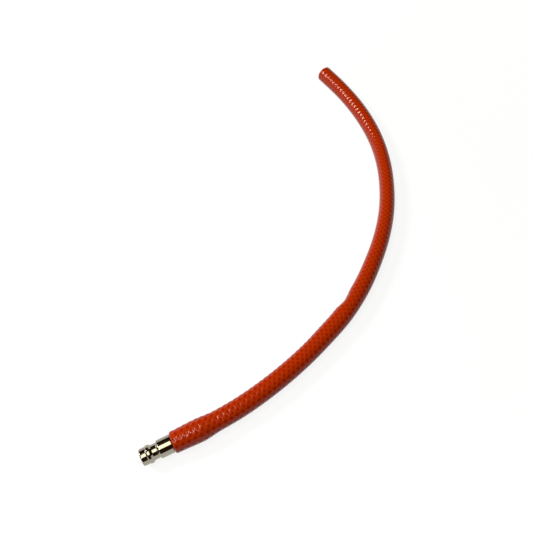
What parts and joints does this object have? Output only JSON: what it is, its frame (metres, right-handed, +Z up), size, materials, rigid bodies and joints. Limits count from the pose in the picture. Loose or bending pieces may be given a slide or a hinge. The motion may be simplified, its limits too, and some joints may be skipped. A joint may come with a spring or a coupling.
{
  "type": "siphoning hose",
  "caption": "Short flexible hose with an embossed diamond skin, cut plain at one end, with a turned metal quick-connect plug pushed into the other.",
  "frame": {"origin": "middle of the bounding box's base, on the surface that the hose lies on", "axes": "+Z up; -X the way the plug's tip points; the bow turns towards +Y"},
  "size_m": [0.286, 0.2698, 0.0154],
  "materials": {
    "hose": "glossy soft plastic, embossed with two crossing families of helical ridges",
    "plug": "nickel plated and polished, fine turning marks"
  },
  "bodies": {
    "root": {"hose": "hose", "coupling_plug": "plug"}
  },
  "joints": []
}
